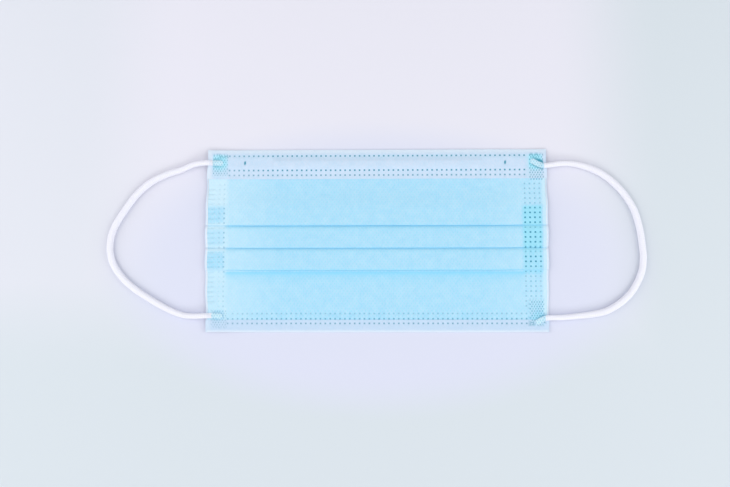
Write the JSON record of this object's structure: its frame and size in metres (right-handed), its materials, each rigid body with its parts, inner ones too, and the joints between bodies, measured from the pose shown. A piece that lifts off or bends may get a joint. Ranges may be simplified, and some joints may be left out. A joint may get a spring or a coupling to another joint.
{
  "type": "surgical face mask",
  "caption": "Flat pleated surgical face mask with a light blue front, white turned hems, a nose wire and white round elastic ear loops, lying on its inner side.",
  "frame": {"origin": "on the table under the middle of the folded cloth, without the ear loops", "axes": "+X along the mask from ear to ear, to the right as seen from the blue front; +Y to the nose edge; +Z out of the blue front, away from the face and up from the table"},
  "size_m": [0.277, 0.095, 0.0069],
  "materials": {
    "blue_nonwoven": "light blue spunbond polypropylene with a fine diamond bond pattern, soft and matt",
    "white_nonwoven": "thin white spunbond polypropylene, slightly see-through over the blue ply",
    "nose_wire": "white plastic over fine soft wire",
    "loop_elastic": "white knitted round elastic, matt"
  },
  "bodies": {
    "root": {"pleated_body": "blue_nonwoven", "top_hem": "white_nonwoven", "bottom_hem": "white_nonwoven", "nose_wire": "nose_wire", "ear_loop_left": "loop_elastic", "ear_loop_right": "loop_elastic", "loop_weld_top_left": "loop_elastic", "loop_weld_bottom_left": "loop_elastic", "loop_weld_top_right": "loop_elastic", "loop_weld_bottom_right": "loop_elastic"}
  },
  "joints": []
}
